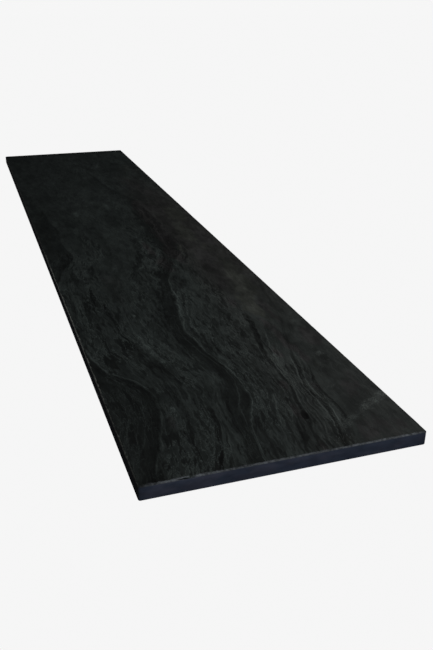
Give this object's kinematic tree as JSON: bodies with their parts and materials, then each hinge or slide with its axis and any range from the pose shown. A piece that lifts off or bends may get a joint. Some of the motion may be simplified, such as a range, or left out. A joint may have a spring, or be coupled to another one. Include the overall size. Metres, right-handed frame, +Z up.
{
  "type": "granite slab",
  "caption": "Long narrow slab of dark veined granite with eased edges, laid flat as a hard surface to cut, tool and press leather on.",
  "frame": {"origin": "centre of the underside, on the surface that the slab lies on", "axes": "+Y along the length towards the back end, +X across the width to the right, +Z up out of the work face"},
  "size_m": [0.37, 1.8, 0.02],
  "materials": {
    "granite": "leathered top with a low sheen, honed edges, sawn underside"
  },
  "bodies": {
    "root": {"stone_slab": "granite"}
  },
  "joints": []
}
